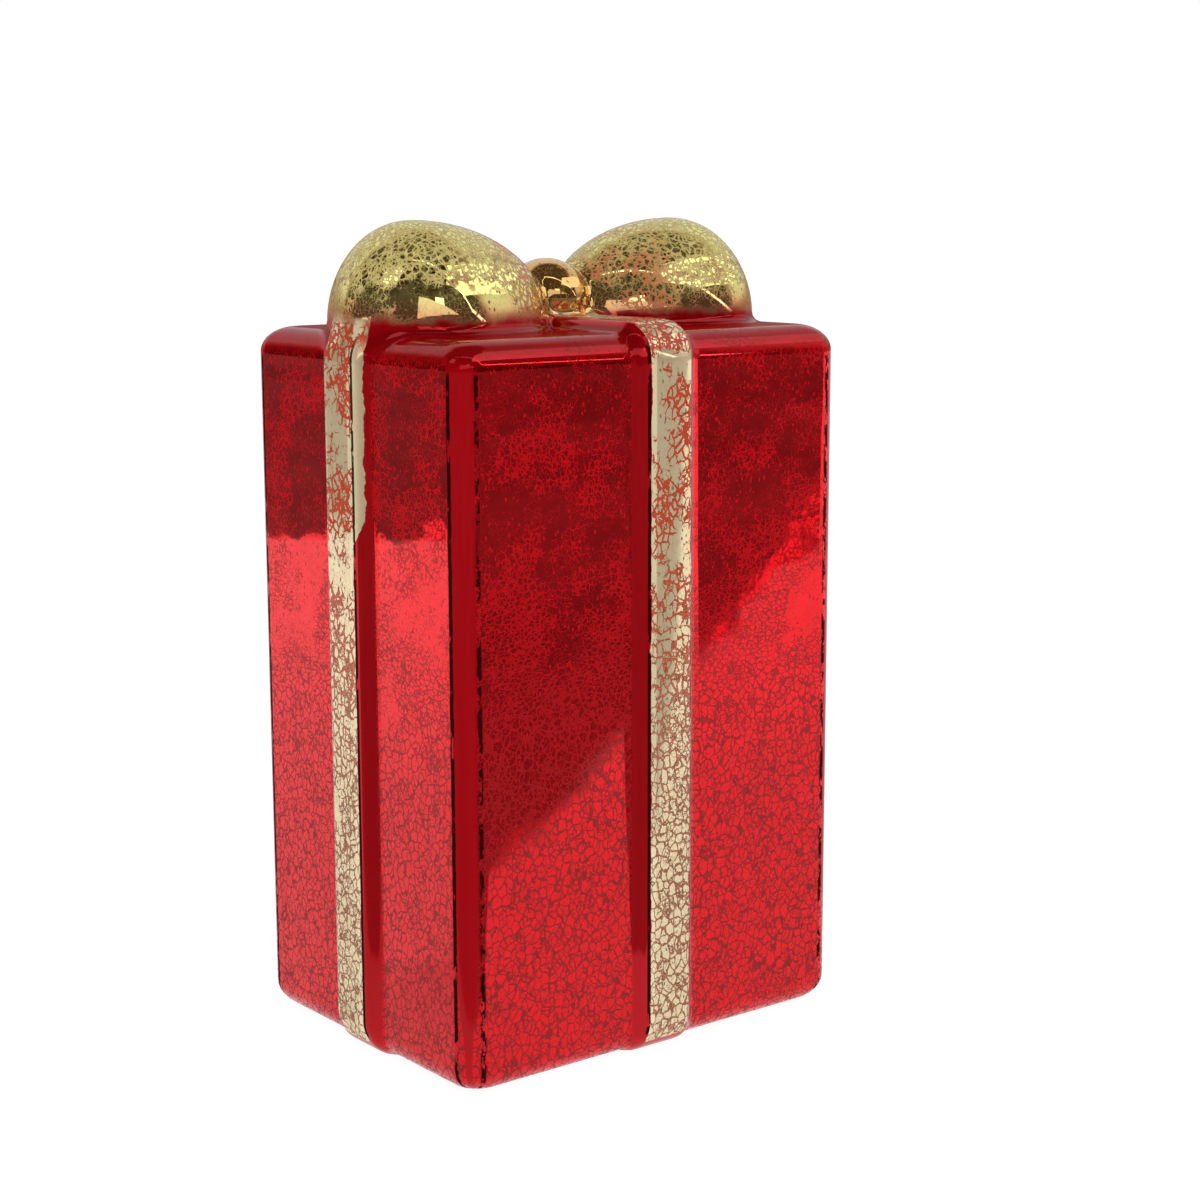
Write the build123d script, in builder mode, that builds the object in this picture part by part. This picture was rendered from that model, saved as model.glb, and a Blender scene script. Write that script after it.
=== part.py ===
"""A battery-lit gift box of blown, silvered glass: one hollow glass form with ribbons and a bow,
closed underneath by a plastic base that holds three AAA cells, a timer switch and a string of LEDs."""

from build123d import *
import os
from math import pi, radians, tan

# ---- Glass form: width along X, depth along Y, foot at z = 0 --------------------------------
box_width = 119.0
box_depth = 92.5
box_height = 180.0
glass_wall = 2.5
corner_radius = 6.0
top_radius = 6.5
heel_radius = 6.5

ribbon_width = 17.0
ribbon_rise = 3.0
ribbon_edge_radius = 2.2

bow_axis_height = 1.3          # bow axis above the box's top
lobe_centre = 41.0             # from the middle to the widest point of a lobe
lobe_radius = 25.5
lobe_outer_length = 18.7       # widest point to the outer end
lobe_inner_length = 37.3       # widest point to the end under the knot
knot_axis_height = 7.3         # knot axis above the box's top
knot_radius = 9.7
knot_half_length = 12.0        # along Y

# ---- Foot recess and the opening that the base goes through ---------------------------------
opening_width = 60.0
opening_corner = 10.0
flange_seat = 7.0              # recess beyond the opening, each side
recess_corner = 12.0
recess_depth = 4.1
recess_lip_radius = 1.2

# ---- Base moulding --------------------------------------------------------------------------
plate_thickness = 2.0
gasket_thickness = 0.5
recess_clearance = 1.0         # flange to glass, each side
skirt_clearance = 0.4          # skirt to glass opening, each side
skirt_wall = 1.6
skirt_height = 16.4
cover_thickness = 1.6
cover_boss_inset = 4.0         # boss centre in from the skirt's inner faces

# ---- Cells and their bay --------------------------------------------------------------------
cell_radius = 5.25
cell_length = 44.5
nub_radius = 1.9
nub_length = 1.0
cell_pitch = 11.3
cell_count = 3
contact_thickness = 0.4
contact_width = 8.6
contact_height = 8.4
contact_corner = 1.0
dimple_radius = 1.5
dimple_height = 0.6
dimple_taper = 30
contact_gap = 0.1
spring_length = 4.9
spring_radius = 2.6
spring_wire = 0.3
spring_turns = 3
spring_seat = 0.8              # coil's first turn above its plate, in wire radii
bay_side_gap = 0.65
base_end_room = 41.5           # opening's length beyond a cell's: board, contacts, hinge and walls
tray_wall = 1.2
tray_rib_depth = 2.8
tray_rib_extra = 0.4           # wider than the gap between cells, whose sides curve away
tray_rib_short = 6.0           # shorter than a cell's body
cell_nub_edge = 0.5
cell_flat_edge = 0.4
cell_top_gap = 0.3
cell_pad_gap = 0.3
tab_width = 3.0
tab_rise = 1.5
tab_clearance = 0.2

# ---- Battery door ---------------------------------------------------------------------------
door_clearance = 0.3
barrel_radius = 1.5
trunnion_radius = 0.9
trunnion_length = 2.3
trunnion_clearance = 0.07
ear_length = 3.0
ear_rise = 2.4
hinge_to_tray = 2.0            # hinge axis to the tray's outer end face
hinge_to_skirt = 0.7           # door opening to the skirt's inner face
tray_above_door = 0.4
latch_width = 8.0
latch_thickness = 1.0
latch_height = 4.4
latch_bead = 0.25
latch_bead_share = 0.6         # bead's height up the latch
latch_inset = 0.2              # latch's outer face in from the door's end
latch_to_tray = 0.4
grip_length = 12.0
grip_width = 2.4
grip_depth = 0.9
pad_length = 30.0
pad_width = 26.0
pad_thickness = 0.8
pad_corner = 1.5

# ---- Board, switch and screws ---------------------------------------------------------------
board_length = 40.0            # along Y
board_width = 20.0             # along X
board_thickness = 1.6
board_to_tray = 2.6
board_screw_spacing = 32.0
board_corner = 1.0
chip_length = 4.9              # along Y
chip_width = 3.9
chip_height = 1.4
chip_stand_off = 0.1
chip_edge = 0.3
chip_pitch = 1.27
chip_legs = 4                  # each side
chip_leg_length = 1.2
chip_leg_width = 0.42
chip_leg_height = 0.6
chip_leg_reach = 0.8           # leg row spacing beyond the chip's width
can_radius = 2.5
can_height = 5.5
can_edge = 0.4
resistor_count = 3
resistor_pitch = 3.2
resistor_length = 2.0          # along Y
resistor_width = 1.25
resistor_height = 0.5
switch_height = 5.0
switch_width = 5.6
switch_length = 12.5
switch_wall = 0.8
switch_corner = 0.4
switch_to_plate = 0.3
switch_travel = 2.0            # each way from the middle position
slider_width = 3.2
slider_length = 4.0
slider_height = 2.0
slider_clearance = 0.2
slider_seat_gap = 0.05
stem_width = 2.0
stem_reach = 0.8               # knob tip below the base plate
stem_clearance = 0.3
stem_edge = 0.35
mark_length = 2.4
mark_width = 0.7
mark_depth = 0.3
boss_radius = 2.5
screw_shank_radius = 0.95
screw_head_radius = 1.9
screw_head_height = 1.3
screw_length = 6.0
screw_clearance = 0.05
screw_hole_clearance = 0.25
cross_length = 1.1             # of the head's radius
cross_width = 0.25             # of the head's radius
tray_tab_height = 6.0
tray_tab_thickness = 1.6
tray_screw_inset = 7.0         # from the tray's ends
tray_screw_offset = 4.2        # out from the tray's side faces

# ---- Light core -----------------------------------------------------------------------------
tube_radius = 18.0
tube_wall = 1.0
tube_top_room = 52.0           # tube's height below the box's
collar_clearance = 0.25
collar_wall = 1.6
collar_height = 6.4
led_wire_radius = 0.35
bead_radius = 1.5
bead_half_length = 2.4
bead_clearance = 0.3
winding_start = 11.0           # above the cover
winding_turns = 7
winding_pitch = 15.5
bead_count = 20
lead_radius = 0.45
lead_above_tray = 0.25
lead_tab_gap = 0.045           # lead's section to the side of its tab
lead_bend_share = 0.45         # of the shorter run beside a bend
lead_hole_radius = 1.7
lead_hole_y = -12.0
last_run = 8.0                 # straight run of the LED lead into the winding

# ---- Heights and places that follow ---------------------------------------------------------
opening_length = cell_length + base_end_room
recess_length = opening_length + 2 * flange_seat
recess_width = opening_width + 2 * flange_seat
tube_height = box_height - tube_top_room
plate_top = recess_depth - gasket_thickness
plate_bottom = plate_top - plate_thickness
skirt_top = plate_top + skirt_height
cover_top = skirt_top + cover_thickness
skirt_length = opening_length - 2 * skirt_clearance
skirt_width = opening_width - 2 * skirt_clearance
skirt_corner = opening_corner - skirt_clearance
skirt_inner_x = skirt_length / 2 - skirt_wall
skirt_inner_y = skirt_width / 2 - skirt_wall

hinge_z = plate_bottom + barrel_radius
hinge_x = -(skirt_inner_x - barrel_radius - door_clearance - hinge_to_skirt)
tray_start = hinge_x + hinge_to_tray
bay_start = tray_start + tray_wall
bay_length = cell_length + 2 * contact_thickness + dimple_height + spring_length + 2 * contact_gap
bay_end = bay_start + bay_length
tray_end = bay_end + tray_wall
bay_half_width = (cell_count - 1) / 2 * cell_pitch + cell_radius + bay_side_gap
tray_half_width = bay_half_width + tray_wall
pad_top = plate_top + pad_thickness
cell_axis_z = pad_top + cell_pad_gap + cell_radius
roof_bottom = cell_axis_z + cell_radius + cell_top_gap
roof_top = roof_bottom + tray_wall
tab_top = roof_top + tab_rise

door_half_width = bay_half_width - door_clearance
latch_outer = tray_end + latch_to_tray + latch_thickness
door_end = latch_outer + latch_inset
door_gap_start = hinge_x - barrel_radius - door_clearance
door_gap_end = door_end + door_clearance

board_start = tray_end + board_to_tray
board_middle = board_start + board_width / 2
switch_bottom = plate_top + switch_to_plate
board_bottom = switch_bottom + switch_height
board_top = board_bottom + board_thickness
slider_bottom = switch_bottom + switch_wall + slider_seat_gap

cover_boss_x = skirt_inner_x - cover_boss_inset
cover_boss_y = skirt_inner_y - cover_boss_inset
cover_boss_places = [(x, y) for x in (-cover_boss_x, cover_boss_x) for y in (-cover_boss_y, cover_boss_y)]
tray_screw_y = tray_half_width + tray_screw_offset
tray_screw_places = [
    (x, y)
    for x in (tray_start + tray_screw_inset, tray_end - tray_screw_inset)
    for y in (-tray_screw_y, tray_screw_y)
]
board_screw_places = [(board_middle, y) for y in (-board_screw_spacing / 2, board_screw_spacing / 2)]
tray_tab_z = plate_top + tray_tab_height
winding_radius = tube_radius + bead_clearance + bead_radius
chip_place = (board_middle + 3.5, 5.5)
can_place = (board_middle + 4.5, -6.5)
resistor_place = (board_middle - 4.0, 0)
lead_hole_place = (board_middle, lead_hole_y)

os.makedirs("parts", exist_ok=True)


def write(piece, name):
    """Labels a finished piece and writes its STEP file."""
    piece.part.label = name
    export_step(piece.part, f"parts/{name}.step")


# ---- Glass shell ----------------------------------------------------------------------------
def box_form(inset):
    """The plain box, moved inwards by inset, with its top, heel and corners rounded."""
    with BuildPart() as box:
        with BuildSketch(Plane.XY.offset(inset)):
            Rectangle(box_width - 2 * inset, box_depth - 2 * inset)
        extrude(amount=box_height - 2 * inset)
        fillet(box.edges().group_by(Axis.Z)[-1], top_radius - inset)
        fillet(box.edges().group_by(Axis.Z)[0], heel_radius - inset)
        rising = box.edges().filter_by(lambda edge: edge.bounding_box().size.Z > (heel_radius - inset) / 2)
        fillet(rising, corner_radius - inset)
    return box.part


def ribbon_form(plane, across, length, inset):
    """One ribbon: a band round the box, over its top, standing proud of it by the ribbon's rise."""
    with BuildPart() as band:
        with BuildSketch(plane):
            with Locations((0, (box_height + ribbon_rise) / 2)):
                Rectangle(length + 2 * (ribbon_rise - inset), box_height + ribbon_rise - 2 * inset)
        extrude(amount=ribbon_width / 2 - inset, both=True)
        fillet(band.edges().filter_by(across).group_by(Axis.Z)[-1], top_radius + ribbon_rise - inset)
        fillet(band.edges().filter_by(across).group_by(Axis.Z)[0], heel_radius + ribbon_rise - inset)
        if ribbon_edge_radius > inset:
            sides = band.faces().filter_by(across)
            fillet(sides.edges(), ribbon_edge_radius - inset)
    return band.part


def half_lobe(length, radius, keep):
    """Half an ellipsoid, its widest circle of this radius in the YZ plane."""
    with BuildPart() as half:
        Sphere(radius)
        split(bisect_by=Plane.YZ, keep=keep)
        scale(by=(length / radius, 1, 1))
    return half.part


def knot_form(half_length, radius):
    """The knot, an ellipsoid lying along Y."""
    with BuildPart() as knot:
        Sphere(radius)
        scale(by=(1, half_length / radius, 1))
    return knot.part


def bow_form(inset):
    """Two egg-shaped lobes with their narrow ends meeting under the knot."""
    outer_half = half_lobe(lobe_outer_length - inset, lobe_radius - inset, Keep.TOP)
    inner_half = half_lobe(lobe_inner_length - inset, lobe_radius - inset, Keep.BOTTOM)
    with BuildPart() as bow:
        with Locations((lobe_centre, 0, box_height + bow_axis_height)):
            add(outer_half)
            add(inner_half)
        mirror(about=Plane.YZ)
        with Locations((0, 0, box_height + knot_axis_height)):
            add(knot_form(knot_half_length - inset, knot_radius - inset))
    return bow.part


def glass_form(inset):
    """The whole blown shape, moved inwards by inset."""
    with BuildPart() as form:
        add(box_form(inset))
        add(ribbon_form(Plane.YZ, Axis.X, box_depth, inset))
        add(ribbon_form(Plane.XZ, Axis.Y, box_width, inset))
        add(bow_form(inset))
    return form.part


with BuildPart() as glass_shell:
    add(glass_form(0))
    add(glass_form(glass_wall), mode=Mode.SUBTRACT)
    with BuildSketch(Plane.XY.offset(glass_wall / 2)):
        RectangleRounded(
            recess_length + 2 * glass_wall, recess_width + 2 * glass_wall, recess_corner + glass_wall
        )
    extrude(amount=recess_depth + glass_wall / 2)
    with BuildSketch(Plane.XY):
        RectangleRounded(recess_length, recess_width, recess_corner)
    extrude(amount=recess_depth, mode=Mode.SUBTRACT)
    with BuildSketch(Plane.XY.offset(recess_depth)):
        RectangleRounded(opening_length, opening_width, opening_corner)
    extrude(amount=glass_wall, mode=Mode.SUBTRACT)
    recess_rim = glass_shell.faces().sort_by(Axis.Z)[0].inner_wires()[0].edges()
    fillet(recess_rim, recess_lip_radius)
write(glass_shell, "glass_shell")

# ---- Gasket between the base flange and the glass -------------------------------------------
flange_length = recess_length - 2 * recess_clearance
flange_width = recess_width - 2 * recess_clearance
flange_corner = recess_corner - recess_clearance
with BuildPart() as base_gasket:
    with BuildSketch(Plane.XY.offset(plate_top)):
        RectangleRounded(flange_length, flange_width, flange_corner)
        RectangleRounded(opening_length, opening_width, opening_corner, mode=Mode.SUBTRACT)
    extrude(amount=gasket_thickness)
write(base_gasket, "base_gasket")

# ---- Base moulding: flange, skirt, hinge ears, bosses, door opening and switch slot ---------
stem_slot_width = stem_width + 2 * stem_clearance
stem_slot_length = stem_width + 2 * switch_travel + 2 * stem_clearance
with BuildPart() as base_plate:
    with BuildSketch(Plane.XY.offset(plate_bottom)):
        RectangleRounded(flange_length, flange_width, flange_corner)
    extrude(amount=plate_thickness)
    fillet(base_plate.edges().group_by(Axis.Z)[0], plate_thickness / 4)
    with BuildSketch(Plane.XY.offset(plate_top)):
        RectangleRounded(skirt_length, skirt_width, skirt_corner)
        RectangleRounded(2 * skirt_inner_x, 2 * skirt_inner_y, skirt_corner - skirt_wall, mode=Mode.SUBTRACT)
    extrude(amount=skirt_height)
    with BuildSketch(Plane.XY.offset(plate_top)):
        with Locations(*cover_boss_places):
            Circle(boss_radius)
    extrude(amount=skirt_height)
    with BuildSketch(Plane.XY.offset(plate_top)):
        with Locations(*tray_screw_places):
            Circle(boss_radius)
    extrude(amount=tray_tab_height)
    with BuildSketch(Plane.XY.offset(plate_top)):
        with Locations(*board_screw_places):
            Circle(boss_radius)
    extrude(amount=board_bottom - plate_top)
    ear_middle = bay_half_width + ear_length / 2
    with BuildSketch(Plane.XY.offset(plate_top)):
        with Locations((hinge_x, -ear_middle), (hinge_x, ear_middle)):
            Rectangle(2 * (barrel_radius + door_clearance), ear_length)
    extrude(amount=ear_rise)
    with BuildSketch(Plane.XY.offset(plate_bottom)):
        with Locations(((door_gap_start + door_gap_end) / 2, 0)):
            Rectangle(door_gap_end - door_gap_start, 2 * bay_half_width)
    extrude(amount=plate_thickness, mode=Mode.SUBTRACT)
    with BuildSketch(Plane.XZ.offset(-bay_half_width - trunnion_length - door_clearance)):
        with Locations((hinge_x, hinge_z)):
            Circle(trunnion_radius + trunnion_clearance)
    extrude(amount=2 * (bay_half_width + trunnion_length + door_clearance), mode=Mode.SUBTRACT)
    with BuildSketch(Plane.XY.offset(plate_bottom)):
        with Locations((board_middle, 0)):
            Rectangle(stem_slot_width, stem_slot_length)
    extrude(amount=plate_thickness, mode=Mode.SUBTRACT)
    with BuildSketch(Plane.XY.offset(plate_bottom)):
        for position in (-1, 0, 1):
            with Locations((board_middle + stem_slot_width / 2 + mark_length, position * switch_travel)):
                Rectangle(mark_length, mark_width)
    extrude(amount=mark_depth, mode=Mode.SUBTRACT)
    pilot_radius = screw_shank_radius + screw_clearance
    for places, seat, head_seat in (
        (cover_boss_places, skirt_top, cover_top),
        (tray_screw_places, tray_tab_z, tray_tab_z + tray_tab_thickness),
        (board_screw_places, board_bottom, board_top),
    ):
        pilot_bottom = head_seat - screw_length - screw_clearance
        with BuildSketch(Plane.XY.offset(pilot_bottom)):
            with Locations(*places):
                Circle(pilot_radius)
        extrude(amount=seat - pilot_bottom, mode=Mode.SUBTRACT)
write(base_plate, "base_plate")

# ---- Battery tray: an upside-down box over the door opening, with tabs for its screws -------
tray_middle = (tray_start + tray_end) / 2
with BuildPart() as battery_tray:
    with BuildSketch(Plane.XY.offset(plate_top)):
        with Locations((tray_middle, 0)):
            Rectangle(tray_end - tray_start, 2 * tray_half_width)
    extrude(amount=roof_top - plate_top)
    fillet(battery_tray.edges().group_by(Axis.Z)[-1], tray_wall / 2)
    with BuildSketch(Plane.XY.offset(plate_top)):
        with Locations((tray_middle, 0)):
            Rectangle(bay_length, 2 * bay_half_width)
    extrude(amount=roof_bottom - plate_top, mode=Mode.SUBTRACT)
    with BuildSketch(Plane.XY.offset(plate_top)):
        with Locations((tray_middle, 0)):
            Rectangle(tray_end - tray_start, 2 * bay_half_width)
    extrude(amount=tray_above_door, mode=Mode.SUBTRACT)
    rib_width = cell_pitch - 2 * cell_radius + tray_rib_extra
    with BuildSketch(Plane.XY.offset(roof_bottom - tray_rib_depth)):
        for gap in range(cell_count - 1):
            with Locations((tray_middle, (gap + 0.5 - (cell_count - 1) / 2) * cell_pitch)):
                Rectangle(cell_length - 2 * nub_length - tray_rib_short, rib_width)
    extrude(amount=tray_rib_depth)
    with BuildSketch(Plane.XY.offset(tray_tab_z)):
        for x, y in tray_screw_places:
            side = 1 if y > 0 else -1
            with Locations((x, side * (tray_half_width + tray_screw_offset / 2))):
                Rectangle(2 * boss_radius, tray_screw_offset)
            with Locations((x, y)):
                Circle(boss_radius)
    extrude(amount=tray_tab_thickness)
    with BuildSketch(Plane.XY.offset(tray_tab_z)):
        with Locations(*tray_screw_places):
            Circle(screw_shank_radius + screw_hole_clearance)
    extrude(amount=tray_tab_thickness, mode=Mode.SUBTRACT)
    lead_tab_places = (
        (bay_end - contact_thickness / 2, -cell_pitch),
        (bay_start + contact_thickness / 2, cell_pitch),
    )
    with BuildSketch(Plane.XY.offset(roof_bottom)):
        with Locations(*lead_tab_places):
            Rectangle(contact_thickness + 2 * tab_clearance, tab_width + 2 * tab_clearance)
    extrude(amount=tray_wall, mode=Mode.SUBTRACT)
write(battery_tray, "battery_tray")


# ---- Cells: the outer two point their nubs at -X, the middle one at +X ----------------------
def cell(number):
    """One AAA cell, its nub at the contact dimple and its flat end at the spring."""
    y = (number - (cell_count - 1) / 2) * cell_pitch
    nub_at_end = number % 2 == 1
    reach = contact_thickness + dimple_height + contact_gap
    start = bay_end - reach if nub_at_end else bay_start + reach
    inward = -1 if nub_at_end else 1
    body_start = start + inward * nub_length
    flat_end = start + inward * cell_length
    with BuildPart() as battery:
        with BuildSketch(Plane.XZ.offset(-y)):
            with BuildLine():
                Polyline(
                    (start, cell_axis_z),
                    (start, cell_axis_z + nub_radius),
                    (body_start, cell_axis_z + nub_radius),
                    (body_start, cell_axis_z + cell_radius - cell_nub_edge),
                    (body_start + inward * cell_nub_edge, cell_axis_z + cell_radius),
                    (flat_end - inward * cell_flat_edge, cell_axis_z + cell_radius),
                    (flat_end, cell_axis_z + cell_radius - cell_flat_edge),
                    (flat_end, cell_axis_z),
                    close=True,
                )
            make_face()
        revolve(axis=Axis((0, y, cell_axis_z), (1, 0, 0)))
    return battery


for number in range(cell_count):
    write(cell(number), f"battery_{number + 1}")


# ---- Contacts: sprung plates and dimpled plates in the ends of the bay ----------------------
def contact(at_end, plate_cells, spring_cells, dimple_cells, tab_cells):
    """A contact plate across plate_cells, with coil springs, dimples and solder tabs at those cells."""
    wall = bay_end if at_end else bay_start
    inward = -1 if at_end else 1
    ys = [(number - (cell_count - 1) / 2) * cell_pitch for number in plate_cells]
    face = wall + inward * contact_thickness
    plane = Plane((wall, 0, cell_axis_z), x_dir=(0, 1, 0), z_dir=(inward, 0, 0))
    with BuildPart() as piece:
        with BuildSketch(plane):
            with Locations(((ys[0] + ys[-1]) / 2, 0)):
                RectangleRounded(ys[-1] - ys[0] + contact_width, contact_height, contact_corner)
        extrude(amount=contact_thickness)
        for number in dimple_cells:
            y = (number - (cell_count - 1) / 2) * cell_pitch
            with BuildSketch(plane.offset(contact_thickness)):
                with Locations((y, 0)):
                    Circle(dimple_radius)
            extrude(amount=dimple_height, taper=dimple_taper)
        for number in tab_cells:
            y = (number - (cell_count - 1) / 2) * cell_pitch
            with BuildSketch(Plane.XY.offset(cell_axis_z)):
                with Locations((wall + inward * contact_thickness / 2, y)):
                    Rectangle(contact_thickness, tab_width)
            extrude(amount=tab_top - cell_axis_z)
    for number in spring_cells:
        y = (number - (cell_count - 1) / 2) * cell_pitch
        coil_height = spring_length - 2 * spring_wire
        coil = Plane((face + inward * spring_wire * spring_seat, y, cell_axis_z), x_dir=(0, 0, 1), z_dir=(inward, 0, 0))
        helix = coil * Helix(coil_height / spring_turns, coil_height, spring_radius)
        with BuildPart() as spring:
            with BuildSketch(Plane(helix @ 0, z_dir=helix % 0)):
                Circle(spring_wire)
            sweep(path=helix, is_frenet=True)
        with piece:
            add(spring.part)
    return piece


write(contact(True, (0,), (0,), (), (0,)), "negative_contact")
write(contact(False, (0, 1), (1,), (0,), ()), "rear_bridge_contact")
write(contact(True, (1, 2), (2,), (1,), ()), "front_bridge_contact")
write(contact(False, (2,), (), (2,), (2,)), "positive_contact")

# ---- Battery door: plate, hinge barrel with trunnions, latch finger -------------------------
with BuildPart() as battery_door:
    with BuildSketch(Plane.XY.offset(plate_bottom)):
        with Locations(((hinge_x + door_end) / 2, 0)):
            Rectangle(door_end - hinge_x, 2 * door_half_width)
    extrude(amount=plate_thickness)
    far_corners = battery_door.edges().filter_by(Axis.Z).group_by(Axis.X)[-1]
    fillet(far_corners, plate_thickness / 2)
    with BuildSketch(Plane.XZ.offset(-door_half_width)):
        with Locations((hinge_x, hinge_z)):
            Circle(barrel_radius)
    extrude(amount=2 * door_half_width)
    trunnion_end = bay_half_width + trunnion_length
    with BuildSketch(Plane.XZ.offset(-trunnion_end)):
        with Locations((hinge_x, hinge_z)):
            Circle(trunnion_radius)
    extrude(amount=2 * trunnion_end)
    with BuildSketch(Plane.XZ.offset(-latch_width / 2)):
        with Locations((latch_outer - latch_thickness / 2, plate_top + latch_height / 2)):
            Rectangle(latch_thickness, latch_height)
        with Locations((latch_outer, plate_top + latch_height * latch_bead_share)):
            Circle(latch_bead)
    extrude(amount=latch_width)
    with BuildSketch(Plane.XY.offset(plate_bottom)):
        with Locations((door_end - grip_width, 0)):
            RectangleRounded(grip_width, grip_length, grip_width / 3)
        with GridLocations(2 * grip_width, 0, 3, 1):
            Rectangle(grip_width / 2, 2 * grip_length)
    extrude(amount=grip_depth / 2, mode=Mode.SUBTRACT)
    with BuildSketch(Plane.XY.offset(plate_bottom)):
        with Locations((door_end - grip_width, 0)):
            RectangleRounded(grip_width, grip_length, grip_width / 3)
    extrude(amount=grip_depth, mode=Mode.SUBTRACT)
write(battery_door, "battery_door")

with BuildPart() as door_foam_pad:
    with BuildSketch(Plane.XY.offset(plate_top)):
        with Locations((tray_middle, 0)):
            RectangleRounded(pad_length, pad_width, pad_corner)
    extrude(amount=pad_thickness)
write(door_foam_pad, "door_foam_pad")

# ---- Circuit board, timer chip and small components -----------------------------------------
with BuildPart() as circuit_board:
    with BuildSketch(Plane.XY.offset(board_bottom)):
        with Locations((board_middle, 0)):
            RectangleRounded(board_width, board_length, board_corner)
        with Locations(*board_screw_places):
            Circle(screw_shank_radius + screw_hole_clearance, mode=Mode.SUBTRACT)
    extrude(amount=board_thickness)
write(circuit_board, "circuit_board")

with BuildPart() as timer_chip:
    with BuildSketch(Plane.XY.offset(board_top + chip_stand_off)):
        with Locations(chip_place):
            Rectangle(chip_width, chip_length)
    extrude(amount=chip_height)
    chamfer(timer_chip.edges().group_by(Axis.Z)[-1], chip_edge)
    with BuildSketch(Plane.XY.offset(board_top)):
        with Locations(chip_place):
            with GridLocations(chip_width + chip_leg_reach, chip_pitch, 2, chip_legs):
                Rectangle(chip_leg_length, chip_leg_width)
    extrude(amount=chip_leg_height)
write(timer_chip, "timer_chip")

with BuildPart() as capacitor:
    with BuildSketch(Plane.XY.offset(board_top)):
        with Locations(can_place):
            Circle(can_radius)
    extrude(amount=can_height)
    fillet(capacitor.edges().group_by(Axis.Z)[-1], can_edge)
write(capacitor, "capacitor")

with BuildPart() as resistors:
    with BuildSketch(Plane.XY.offset(board_top)):
        with Locations(resistor_place):
            with GridLocations(0, resistor_pitch, 1, resistor_count):
                Rectangle(resistor_width, resistor_length)
    extrude(amount=resistor_height)
write(resistors, "resistors")

# ---- Slide switch: housing under the board, knob through the base plate ---------------------
slide_room_length = slider_length + 2 * switch_travel + 2 * slider_clearance
slide_room_width = slider_width + 2 * slider_clearance
with BuildPart() as switch_housing:
    with BuildSketch(Plane.XY.offset(switch_bottom)):
        with Locations((board_middle, 0)):
            Rectangle(switch_width, switch_length)
    extrude(amount=switch_height)
    fillet(switch_housing.edges().filter_by(Axis.Z), switch_corner)
    with BuildSketch(Plane.XY.offset(switch_bottom + switch_wall)):
        with Locations((board_middle, 0)):
            Rectangle(slide_room_width, slide_room_length)
    extrude(amount=slider_height + slider_seat_gap + slider_clearance, mode=Mode.SUBTRACT)
    with BuildSketch(Plane.XY.offset(switch_bottom)):
        with Locations((board_middle, 0)):
            Rectangle(stem_slot_width, stem_slot_length)
    extrude(amount=switch_wall, mode=Mode.SUBTRACT)
write(switch_housing, "switch_housing")

stem_tip = plate_bottom - stem_reach
with BuildPart() as switch_knob:
    with BuildSketch(Plane.XY.offset(slider_bottom)):
        with Locations((board_middle, 0)):
            Rectangle(slider_width, slider_length)
    extrude(amount=slider_height)
    with BuildSketch(Plane.XY.offset(stem_tip)):
        with Locations((board_middle, 0)):
            Rectangle(stem_width, stem_width)
    extrude(amount=slider_bottom - stem_tip)
    fillet(switch_knob.edges().group_by(Axis.Z)[0], stem_edge)
write(switch_knob, "switch_knob")


# ---- Screws ---------------------------------------------------------------------------------
def screws(places, seat):
    """Pan-head screws standing on seat, each with a cross recess."""
    with BuildPart() as group:
        with BuildSketch(Plane.XY.offset(seat - screw_length)):
            with Locations(*places):
                Circle(screw_shank_radius)
        extrude(amount=screw_length)
        with BuildSketch(Plane.XY.offset(seat)):
            with Locations(*places):
                Circle(screw_head_radius)
        extrude(amount=screw_head_height)
        fillet(group.edges().group_by(Axis.Z)[-1], screw_head_height / 3)
        with BuildSketch(Plane.XY.offset(seat + screw_head_height)):
            with Locations(*places):
                Rectangle(screw_head_radius * cross_length, screw_head_radius * cross_width)
                Rectangle(screw_head_radius * cross_width, screw_head_radius * cross_length)
        extrude(amount=-screw_head_height / 2, mode=Mode.SUBTRACT)
    return group


write(screws(tray_screw_places, tray_tab_z + tray_tab_thickness), "tray_screws")
write(screws(board_screw_places, board_top), "board_screws")
write(screws(cover_boss_places, cover_top), "cover_screws")

# ---- Inner cover with the collar that holds the light tube ----------------------------------
collar_inner = tube_radius + collar_clearance
with BuildPart() as inner_cover:
    with BuildSketch(Plane.XY.offset(skirt_top)):
        RectangleRounded(skirt_length, skirt_width, skirt_corner)
        with Locations(*cover_boss_places):
            Circle(screw_shank_radius + screw_hole_clearance, mode=Mode.SUBTRACT)
        with Locations(lead_hole_place):
            Circle(lead_hole_radius, mode=Mode.SUBTRACT)
    extrude(amount=cover_thickness)
    with BuildSketch(Plane.XY.offset(cover_top)):
        Circle(collar_inner + collar_wall)
        Circle(collar_inner, mode=Mode.SUBTRACT)
    extrude(amount=collar_height)
write(inner_cover, "inner_cover")

with BuildPart() as light_tube:
    with BuildSketch(Plane.XY.offset(cover_top)):
        Circle(tube_radius)
        Circle(tube_radius - tube_wall, mode=Mode.SUBTRACT)
    extrude(amount=tube_height)
write(light_tube, "light_tube")

# ---- LED string: one wire wound round the tube, with an LED bead at even steps --------------
winding_bottom = cover_top + winding_start
winding_height = winding_turns * winding_pitch
winding_slope = winding_pitch / (2 * pi * winding_radius)
winding = Plane.XY.offset(winding_bottom) * Helix(winding_pitch, winding_height, winding_radius)
with BuildPart() as led_wire:
    with BuildSketch(Plane(winding @ 0, z_dir=winding % 0)):
        Circle(led_wire_radius)
    sweep(path=winding, is_frenet=True)
write(led_wire, "led_wire")

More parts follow.
